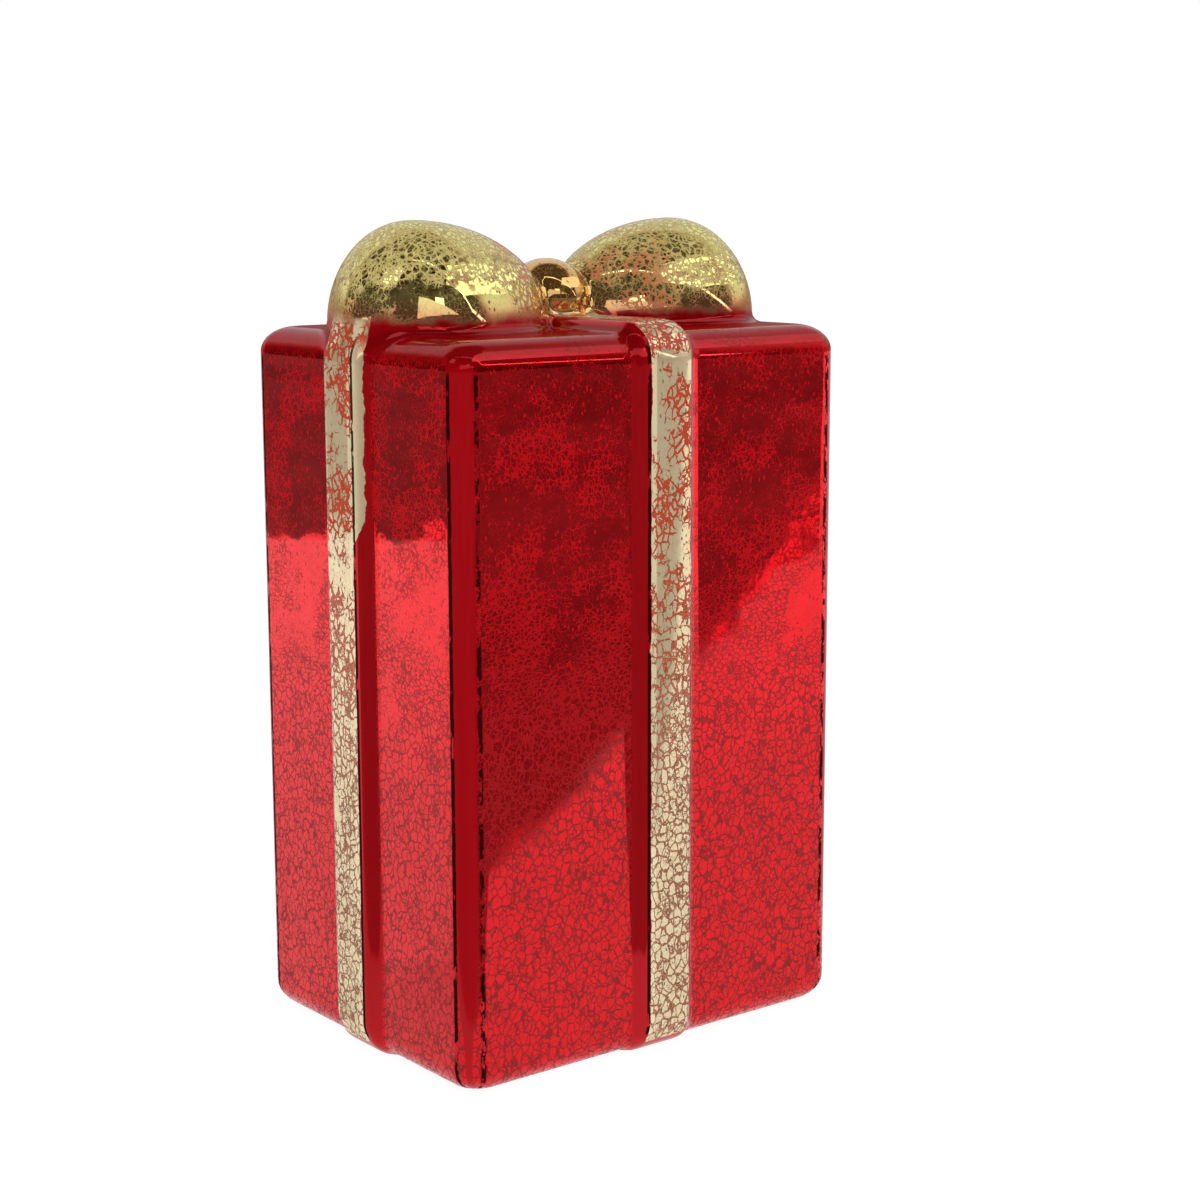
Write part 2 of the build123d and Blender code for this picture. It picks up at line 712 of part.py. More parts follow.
with BuildPart() as bead:
    with BuildSketch(Plane.XY):
        with BuildLine():
            EllipticalCenterArc((0, 0), bead_half_length, bead_radius, 0, arc_size=180)
            Line((-bead_half_length, 0), (bead_half_length, 0))
        make_face()
    revolve(axis=Axis.X)

with BuildPart() as led_beads:
    for number in range(bead_count):
        share = (number + 0.5) / bead_count
        along = winding % share
        with Locations(Plane(winding @ share, x_dir=along, z_dir=along.cross(Vector(0, 0, 1)))):
            add(bead.part)
write(led_beads, "led_beads")


# ---- Leads: straight runs joined by tangent arcs --------------------------------------------
def lead(name, points):
    """A lead along hand-placed points, each corner as round as its two runs allow."""
    places = [Vector(*point) for point in points]
    runs = [b - a for a, b in zip(places, places[1:])]
    radii = []
    for run, following in zip(runs, runs[1:]):
        turn = radians(run.get_angle(following))
        radii.append(lead_bend_share * min(run.length, following.length) / tan(turn / 2))
    print(name, "radii", [round(radius, 1) for radius in radii])
    with BuildPart() as wire:
        with BuildLine():
            route = FilletPolyline(*places, radius=radii)
        with BuildSketch(Plane(route @ 0, z_dir=route % 0)):
            Circle(lead_radius)
        sweep(path=route)
    share = wire.part.volume / (pi * lead_radius**2 * route.length)
    print(name, "volume over section times length", round(share, 4))
    return wire


lead_z = roof_top + lead_radius + lead_above_tray
write(
    lead(
        "negative_lead",
        [
            (bay_end + lead_tab_gap, -cell_pitch, lead_z),
            (tray_end + 5.4, -cell_pitch + 0.6, lead_z),
            (tray_end + 6.2, -cell_pitch + 0.2, board_top),
        ],
    ),
    "negative_lead",
)
write(
    lead(
        "positive_lead",
        [
            (bay_start + contact_thickness + lead_tab_gap, cell_pitch, lead_z),
            (bay_start + 12, cell_pitch - 1.2, lead_z),
            (bay_start + 25, cell_pitch + 1.0, lead_z),
            (bay_start + 38, cell_pitch - 0.6, lead_z),
            (bay_start + 49, cell_pitch + 1.2, lead_z),
            (tray_end + 7.0, cell_pitch + 0.8, lead_z),
            (tray_end + 7.8, cell_pitch + 0.4, board_top),
        ],
    ),
    "positive_lead",
)
write(
    lead(
        "led_lead",
        [
            (lead_hole_place[0] + 0.6, lead_hole_place[1] + 0.3, board_top),
            (lead_hole_place[0], lead_hole_place[1], skirt_top),
            (lead_hole_place[0] - 1.8, lead_hole_place[1] - 0.2, cover_top + 4.0),
            (winding_radius + 2.2, lead_hole_place[1] - 0.6, winding_bottom - 3.2),
            (winding_radius, -last_run, winding_bottom - last_run * winding_slope),
            (winding_radius, 0, winding_bottom),
        ],
    ),
    "led_lead",
)
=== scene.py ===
"""Looks of the lighted glass gift box: the blown glass as one smooth mesh worked out from its form,
materials for every piece of the base and the light, the floor, the lights and the camera."""

from math import cos, radians, sin
from types import SimpleNamespace

import bpy
import numpy as np
from mathutils import Matrix, Vector


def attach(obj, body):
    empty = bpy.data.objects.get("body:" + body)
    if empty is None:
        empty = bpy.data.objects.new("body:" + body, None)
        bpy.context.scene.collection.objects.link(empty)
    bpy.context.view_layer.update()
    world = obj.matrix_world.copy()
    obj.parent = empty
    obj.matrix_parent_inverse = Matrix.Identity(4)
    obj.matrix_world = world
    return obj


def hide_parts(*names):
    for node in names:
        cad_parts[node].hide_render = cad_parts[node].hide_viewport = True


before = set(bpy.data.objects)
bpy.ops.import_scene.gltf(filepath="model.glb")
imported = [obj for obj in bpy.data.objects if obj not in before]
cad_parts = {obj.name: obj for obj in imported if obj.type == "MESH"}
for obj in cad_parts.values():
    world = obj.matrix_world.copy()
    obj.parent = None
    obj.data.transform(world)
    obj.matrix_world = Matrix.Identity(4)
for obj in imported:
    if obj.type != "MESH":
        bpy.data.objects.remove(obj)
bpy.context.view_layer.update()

# ---- Glass form, metres: the same driving dimensions as the CAD model ---------------------------
BOX_HALF_X = 0.0595
BOX_HALF_Y = 0.04625
BOX_HEIGHT = 0.180
WALL = 0.0025
CORNER_RADIUS = 0.006
TOP_RADIUS = 0.0065
HEEL_RADIUS = 0.0065
RIBBON_HALF = 0.0085
RIBBON_RISE = 0.003
RIBBON_EDGE = 0.0026
RIBBON_FOOT = 0.0022
BOW_AXIS_Z = BOX_HEIGHT + 0.0013
LOBE_X = 0.041
LOBE_RADIUS = 0.0255
LOBE_OUTER = 0.0187
LOBE_INNER = 0.0373
KNOT_Z = BOX_HEIGHT + 0.0073
KNOT_RADIUS = 0.0097
KNOT_HALF = 0.012
BOW_FOOT = 0.0022
KNOT_FOOT = 0.0015
RECESS_HALF = (0.050, 0.037)
RECESS_CORNER = 0.012
RECESS_DEPTH = 0.0041
OPENING_HALF = (0.043, 0.030)
OPENING_CORNER = 0.010
RIM_EDGE = 0.0008
TINY = 1e-9                    # keeps a division from 0

# The grid that the mesh is made on: (start, end, step), finer where the form is rounded.
GRID_X = ((-0.0640, -0.0480, 0.0011), (-0.0480, 0.0480, 0.0016), (0.0480, 0.0640, 0.0011))
GRID_Y = ((-0.0505, -0.0350, 0.0011), (-0.0350, 0.0350, 0.0016), (0.0350, 0.0505, 0.0011))
GRID_Z = ((-0.0012, 0.0118, 0.0011), (0.0118, 0.1640, 0.0080), (0.1640, 0.2085, 0.0012))
SETTLING_ROUNDS = 3            # how often the points are moved onto the form
FURTHEST_MOVE = 0.0006
LEAST_SLOPE = 0.25
NORMAL_WIDTH = 1e-4            # the normals' slope is taken over this width, each way
MASK_BOW = 0.0012              # the bow's masks reach this far outside its own form
MASK_KNOT = 0.0010


def round_max(a, b, radius):
    """The larger of two distances, with the edge between them rounded to a fixed radius."""
    inside = np.abs(a - b) < radius
    under = np.maximum(2 * radius**2 - (a - b) ** 2, radius**2)
    return np.where(inside, radius + (a + b) / 2 - np.sqrt(under) / 2, np.maximum(a, b))


def round_min(a, b, radius):
    """The smaller of two distances, with a fillet of a fixed radius in the corner between them."""
    return -round_max(-a, -b, radius)


def rounded_plate(x, y, half, corner):
    """Distance to a rounded rectangle in plan."""
    u = np.abs(x) - half[0] + corner
    v = np.abs(y) - half[1] + corner
    outside = np.hypot(np.maximum(u, 0), np.maximum(v, 0))
    return outside + np.minimum(np.maximum(u, v), 0) - corner


def ellipsoid(x, y, z, a, b, c):
    """Near-distance to an ellipsoid with semi-axes a, b, c."""
    near = np.sqrt((x / a) ** 2 + (y / b) ** 2 + (z / c) ** 2) + TINY
    slope = np.sqrt((x / a**2) ** 2 + (y / b**2) ** 2 + (z / c**2) ** 2) + TINY
    return near * (near - 1) / slope


def ribbon(across, along, z, half_length):
    """One ribbon: a band round the box and over its top, proud of it by RIBBON_RISE."""
    loop = round_max(np.abs(along) - half_length - RIBBON_RISE, z - BOX_HEIGHT - RIBBON_RISE,
                     TOP_RADIUS + RIBBON_RISE)
    loop = round_max(loop, -z, HEEL_RADIUS + RIBBON_RISE)
    return round_max(loop, np.abs(across) - RIBBON_HALF, RIBBON_EDGE)


def plain_box(x, y, z):
    """Distance to the box without its ribbons and bow."""
    plan = round_max(np.abs(x) - BOX_HALF_X, np.abs(y) - BOX_HALF_Y, CORNER_RADIUS)
    return round_max(round_max(plan, z - BOX_HEIGHT, TOP_RADIUS), -z, HEEL_RADIUS)


def bow_parts(x, y, z):
    """Distances to the two lobes and to the knot."""
    side = np.abs(x) - LOBE_X
    reach = np.where(side > 0, LOBE_OUTER, LOBE_INNER)
    lobes = ellipsoid(side, y, z - BOW_AXIS_Z, reach, LOBE_RADIUS, LOBE_RADIUS)
    return lobes, ellipsoid(x, y, z - KNOT_Z, KNOT_RADIUS, KNOT_HALF, KNOT_RADIUS)


def outer_form(x, y, z):
    """Distance to the outside of the glass, from its foot to its bow."""
    form = plain_box(x, y, z)
    ribbons = np.minimum(ribbon(x, y, z, BOX_HALF_Y), ribbon(y, x, z, BOX_HALF_X))
    form = round_min(form, ribbons, RIBBON_FOOT)
    lobes, knot = bow_parts(x, y, z)
    return round_min(round_min(form, lobes, BOW_FOOT), knot, KNOT_FOOT)


def glass_form(x, y, z):
    """Distance to the glass itself: a shell of one wall, with the foot recess and the opening."""
    outer = outer_form(x, y, z)
    shell = np.maximum(outer, -(outer + WALL))
    web = np.maximum(rounded_plate(x, y, np.add(RECESS_HALF, WALL), RECESS_CORNER + WALL),
                     z - RECESS_DEPTH - WALL)
    shell = np.minimum(shell, np.maximum(web, outer))
    recess = np.maximum(rounded_plate(x, y, RECESS_HALF, RECESS_CORNER), z - RECESS_DEPTH)
    shell = round_max(shell, -recess, RIM_EDGE)
    opening = np.maximum(rounded_plate(x, y, OPENING_HALF, OPENING_CORNER), z - RECESS_DEPTH - 2 * WALL)
    return np.maximum(shell, -opening)


def steps(stops):
    """Grid lines through the stops, each span with its own step: (start, end, step)."""
    lines = [np.linspace(a, b, max(2, int(round((b - a) / step)) + 1))[:-1] for a, b, step in stops]
    return np.append(np.concatenate(lines), stops[-1][1])


def gradient(form, points, width=2e-5):
    """The form's slope at each point, by central differences."""
    slope = np.empty_like(points)
    for axis in range(3):
        ahead, behind = points.copy(), points.copy()
        ahead[:, axis] += width
        behind[:, axis] -= width
        slope[:, axis] = (form(*ahead.T) - form(*behind.T)) / (2 * width)
    return slope


def surface_net(form, xs, ys, zs):
    """Vertices and quads of the form's zero surface on a grid of uneven lines."""
    X, Y, Z = np.meshgrid(xs, ys, zs, indexing="ij")
    values = form(X, Y, Z)
    inside = values < 0
    shape = np.array(inside.shape) - 1
    corner_sum = np.zeros(shape, int)
    place_sum = np.zeros((*shape, 3))
    crossings = np.zeros(shape, int)
    spans = [slice(0, -1), slice(1, None)]
    for i in range(2):
        for j in range(2):
            for k in range(2):
                corner_sum += inside[spans[i], spans[j], spans[k]]
    grid = np.stack([X, Y, Z], -1)
    for axis in range(3):
        others = [a for a in range(3) if a != axis]
        low = [slice(None)] * 3
        high = [slice(None)] * 3
        low[axis], high[axis] = slice(0, -1), slice(1, None)
        va, vb = values[tuple(low)], values[tuple(high)]
        crossed = (va < 0) != (vb < 0)
        share = np.where(crossed, va / np.where(crossed, va - vb, 1), 0)
        place = grid[tuple(low)] + share[..., None] * (grid[tuple(high)] - grid[tuple(low)])
        place = np.where(crossed[..., None], place, 0)
        for i in range(2):
            for j in range(2):
                part = [slice(None)] * 3
                part[others[0]], part[others[1]] = spans[i], spans[j]
                place_sum += place[tuple(part)]
                crossings += crossed[tuple(part)]
    active = (corner_sum > 0) & (corner_sum < 8)
    index = -np.ones(shape, int)
    index[active] = np.arange(active.sum())
    points = place_sum[active] / crossings[active][:, None]
    quads = []
    for axis in range(3):
        a, b = [(1, 2), (2, 0), (0, 1)][axis]
        low = [slice(1, -1)] * 3
        high = [slice(1, -1)] * 3
        low[axis], high[axis] = slice(0, -1), slice(1, None)
        start, end = inside[tuple(low)], inside[tuple(high)]
        cells = []
        for da, db in ((0, 0), (1, 0), (1, 1), (0, 1)):
            part = [None] * 3
            part[axis] = slice(None)
            part[a] = slice(da, index.shape[a] - 1 + da)
            part[b] = slice(db, index.shape[b] - 1 + db)
            cells.append(index[tuple(part)])
        cells = np.stack(cells, -1)
        leaving = cells[start & ~end]
        entering = cells[~start & end]
        quads += [leaving, entering[:, ::-1]]
    return points, np.concatenate(quads)


def make_glass():
    """The glass as a closed mesh whose points and normals lie on the form."""
    points, quads = surface_net(glass_form, steps(GRID_X), steps(GRID_Y), steps(GRID_Z))
    for _ in range(SETTLING_ROUNDS):
        slope = gradient(glass_form, points)
        step = glass_form(*points.T) / np.maximum((slope**2).sum(1), LEAST_SLOPE)
        points -= np.clip(step, -FURTHEST_MOVE, FURTHEST_MOVE)[:, None] * slope
    points[:, 2] = np.maximum(points[:, 2], 0.0)
    mesh = bpy.data.meshes.new("glass_body")
    mesh.from_pydata(points.tolist(), [], quads.tolist())
    mesh.validate()
    mesh.update()
    mesh.polygons.foreach_set("use_smooth", np.ones(len(mesh.polygons), bool))
    slope = gradient(glass_form, points, NORMAL_WIDTH)
    slope /= np.maximum(np.linalg.norm(slope, axis=1, keepdims=True), TINY)
    mesh.normals_split_custom_set_from_vertices(slope.tolist())
    glass = bpy.data.objects.new("glass_body", mesh)
    bpy.context.scene.collection.objects.link(glass)
    return glass


def paint_masks(glass):
    """Per-point distances that the lacquer follows: depth inside the bow, and height above the plain box."""
    mesh = glass.data
    points = np.empty(len(mesh.vertices) * 3)
    mesh.vertices.foreach_get("co", points)
    x, y, z = points.reshape(-1, 3).T
    lobes, knot = bow_parts(x, y, z)
    masks = {
        "bow": MASK_BOW - np.minimum(lobes, knot),
        "knot": MASK_KNOT - knot,
        "proud": plain_box(x, y, z),
    }
    for name, values in masks.items():
        attribute = mesh.attributes.new(name, "FLOAT", "POINT")
        attribute.data.foreach_set("value", values.astype(np.float32))


# ---- Node helpers -------------------------------------------------------------------------------
class Tree:
    """A node tree, built by short calls."""

    def __init__(self, tree):
        self.tree = tree
        tree.nodes.clear()

    def add(self, kind):
        return self.tree.nodes.new(kind)

    def put(self, target, value):
        """Sets an input, or links it when the value is another node's output."""
        if isinstance(value, bpy.types.NodeSocket):
            self.tree.links.new(value, target)
        elif hasattr(target.default_value, "__len__") and not hasattr(value, "__len__"):
            target.default_value = [value] * len(target.default_value)
        elif hasattr(value, "__len__") and len(target.default_value) == 4 and len(value) == 3:
            target.default_value = (*value, 1.0)
        else:
            target.default_value = value

    def object_place(self):
        return self.add("ShaderNodeTexCoord").outputs["Object"]

    def attribute(self, name):
        node = self.add("ShaderNodeAttribute")
        node.attribute_name = name
        return node.outputs["Fac"]

    def axes(self, vector):
        node = self.add("ShaderNodeSeparateXYZ")
        self.put(node.inputs[0], vector)
        return node.outputs

    def math(self, operation, a, b=0.0, clamp=False):
        node = self.add("ShaderNodeMath")
        node.operation = operation
        node.use_clamp = clamp
        self.put(node.inputs[0], a)
        self.put(node.inputs[1], b)
        return node.outputs[0]

    def chain(self, operation, first, others):
        for other in others:
            first = self.math(operation, first, other)
        return first

    def times(self, first, *others):
        return self.chain("MULTIPLY", first, others)

    def plus(self, first, *others):
        return self.chain("ADD", first, others)

    def minus(self, first, *others):
        return self.chain("SUBTRACT", first, others)

    def most(self, first, *others):
        return self.chain("MAXIMUM", first, others)

    def without(self, mask):
        return self.math("SUBTRACT", 1.0, mask)

    def size(self, value):
        return self.math("ABSOLUTE", value)

    def vector(self, operation, a, b=(0, 0, 0), scale=None):
        node = self.add("ShaderNodeVectorMath")
        node.operation = operation
        self.put(node.inputs[0], a)
        self.put(node.inputs[1], b)
        if scale is not None:
            self.put(node.inputs["Scale"], scale)
        return node.outputs[0]

    def stretched(self, place, factors):
        return self.vector("MULTIPLY", place, factors)

    def smooth(self, value, low, high, to_low=0.0, to_high=1.0):
        """A smooth ramp from to_low at low to to_high at high."""
        node = self.add("ShaderNodeMapRange")
        node.interpolation_type = "SMOOTHSTEP"
        for name, item in (("Value", value), ("From Min", low), ("From Max", high),
                           ("To Min", to_low), ("To Max", to_high)):
            self.put(node.inputs[name], item)
        return node.outputs[0]

    def noise(self, vector, scale, detail=2.0, roughness=0.5, colour=False):
        node = self.add("ShaderNodeTexNoise")
        self.put(node.inputs["Vector"], vector)
        self.put(node.inputs["Scale"], scale)
        self.put(node.inputs["Detail"], detail)
        self.put(node.inputs["Roughness"], roughness)
        return node.outputs["Color" if colour else "Fac"]

    def wander(self, place, scale, reach):
        """Noise about 0, up to reach."""
        return self.times(self.minus(self.noise(place, scale, 3.0, 0.6), 0.5), 2 * reach)

    def voronoi(self, vector, scale, feature="DISTANCE_TO_EDGE", randomness=1.0):
        node = self.add("ShaderNodeTexVoronoi")
        node.feature = feature
        self.put(node.inputs["Vector"], vector)
        self.put(node.inputs["Scale"], scale)
        self.put(node.inputs["Randomness"], randomness)
        return node.outputs["Distance"]

    def mix(self, share, a, b):
        """Between two colours."""
        return self.between("RGBA", share, a, b)

    def blend(self, share, a, b):
        """Between two numbers."""
        return self.between("FLOAT", share, a, b)

    def between(self, kind, share, a, b):
        node = self.add("ShaderNodeMix")
        node.data_type = kind
        self.put(node.inputs["Factor"], share)
        self.put(node.inputs["A"], a)
        self.put(node.inputs["B"], b)
        return node.outputs["Result"]

    def bump(self, height, distance, strength=1.0):
        node = self.add("ShaderNodeBump")
        self.put(node.inputs["Height"], height)
        self.put(node.inputs["Distance"], distance)
        self.put(node.inputs["Strength"], strength)
        return node.outputs[0]

    def facing(self):
        node = self.add("ShaderNodeLayerWeight")
        self.put(node.inputs["Blend"], 0.5)
        return node.outputs["Facing"]


class Nodes(Tree):
    """A material's tree, with its Principled shader."""

    def __init__(self, name):
        self.material = bpy.data.materials.new(name)
        self.material.use_nodes = True
        super().__init__(self.material.node_tree)
        self.output = self.add("ShaderNodeOutputMaterial")
        self.shader = self.add("ShaderNodeBsdfPrincipled")
        self.tree.links.new(self.shader.outputs[0], self.output.inputs[0])

    def set(self, **values):
        """Sets the Principled shader's inputs by name, with _ for a space."""
        for name, value in values.items():
            self.put(self.shader.inputs[name.replace("_", " ")], value)


# ---- Lacquered glass: where each finish is, metres ----------------------------------------------
GOLD_HALF = 0.0064             # gold band, each side of its middle
GOLD_SHIFT_FRONT = 0.0006      # the hand-painted bands sit off centre
GOLD_SHIFT_SIDE = 0.0014
GOLD_WAVE = (170, 0.0011)      # waviness of the painted edge: noise scale, reach
GOLD_LEVEL = 0.0012            # the gold ends where the ribbon is less proud than this
GOLD_SOFT = 0.00012
TURNED_GOLD = 0.0034           # high on the side ribbons the gold turns over the near edge
TURNED_GOLD_Z = (0.128, 0.136)
BEND_Z = (0.172, 0.178)        # where a ribbon bends over the top edge
BOW_LINE_Z = 0.1838            # the bow's gold starts here, with a wavy line
BOW_WAVE = (140, 0.0026)
BOW_LINE_SOFT = (-0.0020, 0.0012)
BOW_SKIN = (0.0, 0.0006)
KNOT_SKIN = (-0.0008, 0.0002)
FLANK_LEVEL = (0.0002, 0.0005)
CORNER_WAVE = (260, 0.035)     # in quarter turns
CORNER_TAPER_Z = (0.004, 0.045)
CORNER_TOP_Z = (0.1775, 0.1760)

# The web between the silver islands. Pairs are (high on the box, low on the box).
WEB_Z = (0.150, 0.050)
CELL_COARSE = 0.0021
CELL_FINE = 0.0011
CELL_HEIGHT = 0.78             # the cells are taller than wide, by this scale along z
SMALL_CELLS = 1.30             # scale of the smaller cells high up and on the bow
SMALL_CELLS_Z = (0.085, 0.125)
RED_NEED = (0.45, 0.20)        # noise level above which there is web
GOLD_NEED = (0.44, 0.30)
BEND_NEED = 0.38
LOBE_NEED = (0.50, 0.22)
LOBE_NEED_Z = (0.189, 0.199)
KNOT_NEED = 0.62
RED_RAMP = (0.22, 0.14)        # from no web to full web, in noise level
GOLD_RAMP = 0.12
RED_THICK = (0.068, 0.046)     # half width of the web, in cells
GOLD_THICK = (0.12, 0.058)
BOW_THICK = 0.115
HIDDEN = 0.03                  # the web starts this far below the surface
RED_RAGGED = (0.28, 0.13)      # how torn the web's edge is, in cells
BOW_RAGGED = 0.26

# Colours, linear. Where a name has two, the finish varies between them.
RED_ISLAND = ((0.80, 0.003, 0.010), (1.0, 0.010, 0.016))
RED_WEB_HIGH = ((0.30, 0.001, 0.004), (0.66, 0.003, 0.008))
RED_WEB_LOW = (0.36, 0.012, 0.014)
RED_OUTLINE = ((0.50, 0.002, 0.006), (0.20, 0.006, 0.008))
GOLD_ISLAND = ((0.84, 0.68, 0.41), (0.99, 0.83, 0.52))
GOLD_WEB = ((0.56, 0.066, 0.030), (0.60, 0.25, 0.14))
GOLD_OUTLINE = ((0.36, 0.055, 0.025), (0.22, 0.070, 0.035))
BOW_ISLAND = ((0.90, 0.80, 0.24), (1.0, 0.94, 0.34))
BOW_WEB = ((0.46, 0.30, 0.08), (0.92, 0.82, 0.32))
BOW_OUTLINE = (0.13, 0.045, 0.018)
KNOT_ISLAND = (0.84, 0.50, 0.16)
# Painted dark reflection on the bow's islands.
BOW_DARK_REFLECTION = (0.20, 0.065, 0.024)
BOW_FOOT_ISLAND = (0.86, 0.20, 0.14)
BOW_FOOT_WEB = (0.66, 0.13, 0.06)
GOLD_DASH = (0.16, 0.06, 0.035)
BOW_DASH = (0.12, 0.05, 0.02)
STRIP_RED = (0.42, 0.001, 0.005)
FLANK_RED = (0.40, 0.001, 0.005)
# Painted shade on the rounding into the top: dark red.
BROW_SHADE_RED = ((0.11, 0.001, 0.002), (0.27, 0.001, 0.004))
# Painted highlights along the ribbons' gold edges: a pale gold strip on the near side, a pinkish line on the far
# side.
LIP_HIGHLIGHT_GOLD = (1.0, 0.82, 0.52)
RIM_HIGHLIGHT_PINK = (0.70, 0.30, 0.32)
PARTED_BLACK = (0.006, 0.002, 0.002)


def warped(n, place, scale, reach):
    """The place moved about by noise, up to reach."""
    drift = n.vector("SUBTRACT", n.noise(place, scale, 3.0, 0.6, colour=True), (0.5, 0.5, 0.5))
    moved = n.vector("MULTIPLY_ADD", drift, (2 * reach,) * 3)
    n.tree.links.new(place, moved.node.inputs[2])
    return moved


def web(n, place, cell, width):
    """Distance inside the web between silver islands: above 0 on the web."""
    return n.minus(width, n.voronoi(warped(n, place, 0.6 / cell, 0.62 * cell), 1.0 / cell))


def finish_masks(n):
    """Places and masks that every layer of the finish reads, by name."""
    m = SimpleNamespace(place=n.object_place(), bow_depth=n.attribute("bow"), proud=n.attribute("proud"))
    x, y, m.z = n.axes(m.place)
    m.far_x, m.far_y = n.size(x), n.size(y)

    # Across the nearer ribbon, from its gold's middle; below 0 on the side that is seen first.
    on_front = n.math("GREATER_THAN", n.math("DIVIDE", m.far_y, BOX_HALF_Y), n.math("DIVIDE", m.far_x, BOX_HALF_X))
    m.across = n.blend(on_front, n.minus(y, GOLD_SHIFT_SIDE), n.minus(x, GOLD_SHIFT_FRONT))
    half = n.plus(GOLD_HALF, n.wander(m.place, *GOLD_WAVE))
    turned = n.times(n.without(on_front), n.smooth(m.z, *TURNED_GOLD_Z, 0.0, TURNED_GOLD))
    band = n.math("MINIMUM", n.plus(m.across, half, turned), n.minus(half, m.across))
    band = n.math("MINIMUM", band, n.times(n.minus(m.proud, GOLD_LEVEL), 2.0))
    above = n.minus(n.plus(m.z, n.wander(m.place, *BOW_WAVE)), BOW_LINE_Z)
    m.bow = n.times(n.smooth(above, *BOW_LINE_SOFT), n.smooth(m.bow_depth, *BOW_SKIN))
    m.knot = n.times(n.smooth(n.attribute("knot"), *KNOT_SKIN), m.bow)
    m.gold = n.most(n.smooth(band, -GOLD_SOFT, GOLD_SOFT), m.bow)
    m.bend = n.times(n.smooth(m.z, *BEND_Z), n.without(m.bow))
    m.low_down = n.smooth(m.z, *WEB_Z)
    m.tone = n.noise(m.place, 26, 4.0, 0.6)
    return m


def paint_crackle(n, m):
    """The web between silver islands, its outline, and small dashes in the clean silver: everywhere
    low down, in clusters higher up."""

    def by_height(pair):
        return n.blend(m.low_down, *pair)

    cluster = n.noise(warped(n, m.place, 90, 0.006), 62, 4.0, 0.62)
    need = n.blend(m.gold, by_height(RED_NEED), by_height(GOLD_NEED))
    need = n.blend(n.times(m.bend, m.gold), need, BEND_NEED)
    need = n.blend(m.bow, need, n.smooth(m.z, *LOBE_NEED_Z, *LOBE_NEED))
    need = n.blend(m.knot, need, KNOT_NEED)
    spread = n.smooth(cluster, need, n.plus(need, n.blend(m.gold, by_height(RED_RAMP), GOLD_RAMP)))
    thick = n.blend(m.gold, by_height(RED_THICK), by_height(GOLD_THICK))
    thick = n.blend(m.bow, thick, BOW_THICK)
    width = n.minus(n.times(n.plus(thick, HIDDEN), spread), HIDDEN)
    torn = n.times(n.minus(n.noise(m.place, 1300), 0.5), n.blend(m.bow, by_height(RED_RAGGED), BOW_RAGGED))
    small = n.most(m.bow, n.times(n.without(m.gold), n.smooth(m.z, *SMALL_CELLS_Z)))
    tall = n.stretched(m.place, (1.0, 1.0, CELL_HEIGHT))
    tall = n.vector("SCALE", tall, scale=n.blend(small, 1.0, SMALL_CELLS))
    coarse = n.plus(web(n, tall, CELL_COARSE, width), n.times(torn, spread))
    patches = n.smooth(n.noise(m.place, 210), 0.46, 0.60)
    inside = n.most(coarse, web(n, m.place, CELL_FINE, n.minus(n.times(width, patches), 0.01)))
    m.webbed = n.smooth(inside, -0.02, 0.02)
    m.outline = n.times(n.smooth(inside, -0.045, -0.005), n.smooth(inside, 0.075, 0.02))

    dash_place = n.stretched(warped(n, m.place, 300, 0.0007), (1.0, 1.0, 0.52))
    dash = n.smooth(n.voronoi(dash_place, 820, "F1"), 0.27, 0.20)
    m.dash = n.times(dash, n.smooth(n.noise(m.place, 330), 0.46, 0.53), n.without(m.webbed))


def paint_lacquer(n, m):
    """Smooth lacquer on the ribbon's flanks and on the box's upright corners, where no web shows."""
    m.flank = n.times(n.smooth(m.proud, *FLANK_LEVEL), n.without(m.gold))
    over_x = n.minus(m.far_x, BOX_HALF_X - CORNER_RADIUS)
    over_y = n.minus(m.far_y, BOX_HALF_Y - CORNER_RADIUS)
    turn = n.math("DIVIDE", n.math("ARCTAN2", over_x, over_y), radians(90))
    m.turn = n.plus(turn, n.wander(m.place, *CORNER_WAVE))
    taper = n.smooth(m.z, *CORNER_TAPER_Z)
    strip = n.times(n.smooth(m.turn, n.blend(taper, 0.42, 0.20), n.blend(taper, 0.46, 0.24)),
                    n.smooth(m.turn, n.blend(taper, 0.62, 0.97), n.blend(taper, 0.58, 0.93)))
    m.strip = n.times(strip, n.smooth(m.z, *CORNER_TOP_Z))
    m.off_lacquer = n.without(n.times(n.most(m.flank, m.strip), 0.94))
    turned_edge = n.times(n.smooth(m.across, -GOLD_HALF - 0.0002, -GOLD_HALF - 0.0009),
                          n.smooth(m.z, 0.180, 0.174), m.gold)
    keep = n.times(m.off_lacquer, n.without(n.times(turned_edge, 0.9)))
    m.webbed, m.outline, m.dash = (n.times(mask, keep) for mask in (m.webbed, m.outline, m.dash))


